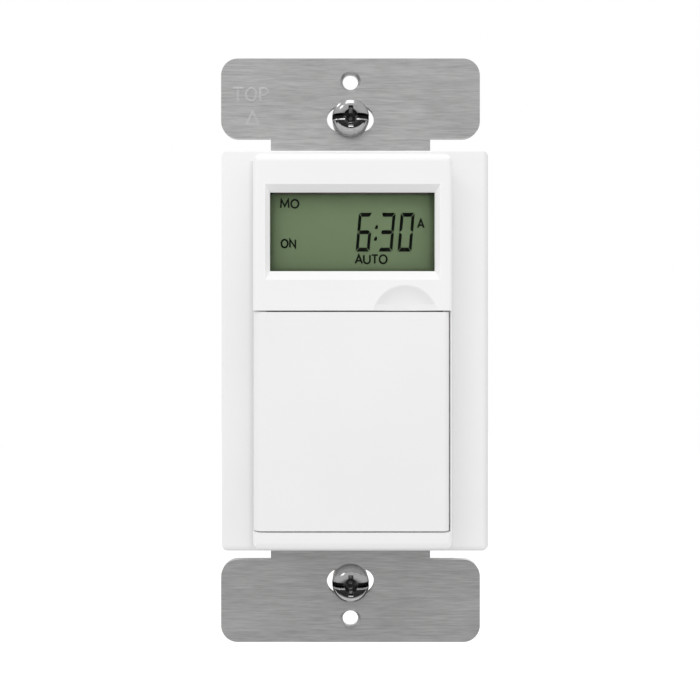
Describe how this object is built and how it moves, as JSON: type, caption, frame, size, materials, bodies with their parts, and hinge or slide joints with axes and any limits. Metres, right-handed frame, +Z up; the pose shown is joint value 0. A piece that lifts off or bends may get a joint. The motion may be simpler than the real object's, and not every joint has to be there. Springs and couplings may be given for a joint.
{
  "type": "timer light switch",
  "caption": "In-wall timer light switch with a readout window and a hinged door over sprung keys, on a steel strap.",
  "frame": {"origin": "middle of the strap's back face, in the wall plane, midway between the two plate screw holes", "axes": "+Z up the wall, -Y out of the wall towards the room, +X to the right seen from the room"},
  "size_m": [0.0474, 0.0412, 0.105],
  "materials": {
    "strap_steel": "brushed along its width",
    "white_plastic": "satin white moulded plastic",
    "back_plastic": "fine spark-eroded texture",
    "screw_steel": "zinc plated",
    "plated_screw": "bright nickel plated",
    "fibre": "pressed fibre",
    "brass_parts": "plain",
    "clear_window": "clear polished acrylic",
    "readout_glass": "readout glass with polariser",
    "readout_reflector": "olive green reflector film",
    "black_plastic": "moulded",
    "contact_rubber": "layered conducting silicone",
    "green_board": "circuit board with green lacquer",
    "brown_board": "paper based circuit board",
    "cell_steel": "nickel plated",
    "blue_plastic": "moulded relay case",
    "red_plastic": "cast resin in a red case",
    "aluminium_can": "can in a printed dark sleeve",
    "blue_ceramic": "dipped disc",
    "brown_plastic": "moulded fuse case",
    "resistor_ceramic": "lacquered body",
    "key_plastic": "satin moulded key",
    "grey_key_plastic": "satin moulded key"
  },
  "bodies": {
    "switch": {"mounting_strap": "strap_steel", "front_housing": "white_plastic", "rear_housing": "back_plastic", "case_screws": "screw_steel", "upper_box_screw": "plated_screw", "lower_box_screw": "plated_screw", "screw_washers": "fibre", "ground_lug": "brass_parts", "display_window": "clear_window", "lcd_front_glass": "readout_glass", "lcd_back_glass": "readout_glass", "lcd_reflector": "readout_reflector", "lcd_holder": "black_plastic", "contact_strips": "contact_rubber", "control_board": "green_board", "board_screws": "screw_steel", "control_chip": "black_plastic", "clock_crystal": "cell_steel", "backup_cell": "cell_steel", "cell_clip": "cell_steel", "push_switches": "black_plastic", "board_header": "black_plastic", "power_board": "brown_board", "power_board_screws": "screw_steel", "relay": "blue_plastic", "film_capacitor": "red_plastic", "smoothing_capacitor": "aluminium_can", "varistor": "blue_ceramic", "fuse": "brown_plastic", "rectifier_diodes": "black_plastic", "series_resistor": "resistor_ceramic", "lead_terminals": "brass_parts"},
    "door": {"door": "white_plastic"},
    "program_button": {"program_key": "key_plastic", "program_plunger": "black_plastic"},
    "day_button": {"day_key": "key_plastic", "day_plunger": "black_plastic"},
    "clock_button": {"clock_key": "key_plastic", "clock_plunger": "black_plastic"},
    "hour_button": {"hour_key": "key_plastic", "hour_plunger": "black_plastic"},
    "random_button": {"random_key": "key_plastic", "random_plunger": "black_plastic"},
    "minute_button": {"minute_key": "key_plastic", "minute_plunger": "black_plastic"},
    "mode_button": {"mode_key": "key_plastic", "mode_plunger": "black_plastic"},
    "reset_button": {"reset_key": "grey_key_plastic", "reset_plunger": "black_plastic"}
  },
  "joints": [
    {"name": "door_hinge", "type": "hinge", "parent": "switch", "child": "door", "pos_m": [-0.0148, -0.0104, -0.0116], "axis": [0, 0, -1], "range_deg": [0, 160]},
    {"name": "program_press", "type": "slide", "parent": "switch", "child": "program_button", "axis": [0, 1, 0], "range_m": [0, 0.0004], "stiffness_N_per_m": 2500},
    {"name": "day_press", "type": "slide", "parent": "switch", "child": "day_button", "axis": [0, 1, 0], "range_m": [0, 0.0004], "stiffness_N_per_m": 2500},
    {"name": "clock_press", "type": "slide", "parent": "switch", "child": "clock_button", "axis": [0, 1, 0], "range_m": [0, 0.0004], "stiffness_N_per_m": 2500},
    {"name": "hour_press", "type": "slide", "parent": "switch", "child": "hour_button", "axis": [0, 1, 0], "range_m": [0, 0.0004], "stiffness_N_per_m": 2500},
    {"name": "random_press", "type": "slide", "parent": "switch", "child": "random_button", "axis": [0, 1, 0], "range_m": [0, 0.0004], "stiffness_N_per_m": 2500},
    {"name": "minute_press", "type": "slide", "parent": "switch", "child": "minute_button", "axis": [0, 1, 0], "range_m": [0, 0.0004], "stiffness_N_per_m": 2500},
    {"name": "mode_press", "type": "slide", "parent": "switch", "child": "mode_button", "axis": [0, 1, 0], "range_m": [0, 0.0004], "stiffness_N_per_m": 2500},
    {"name": "reset_press", "type": "slide", "parent": "switch", "child": "reset_button", "axis": [0, 1, 0], "range_m": [0, 0.0004], "stiffness_N_per_m": 2500}
  ]
}
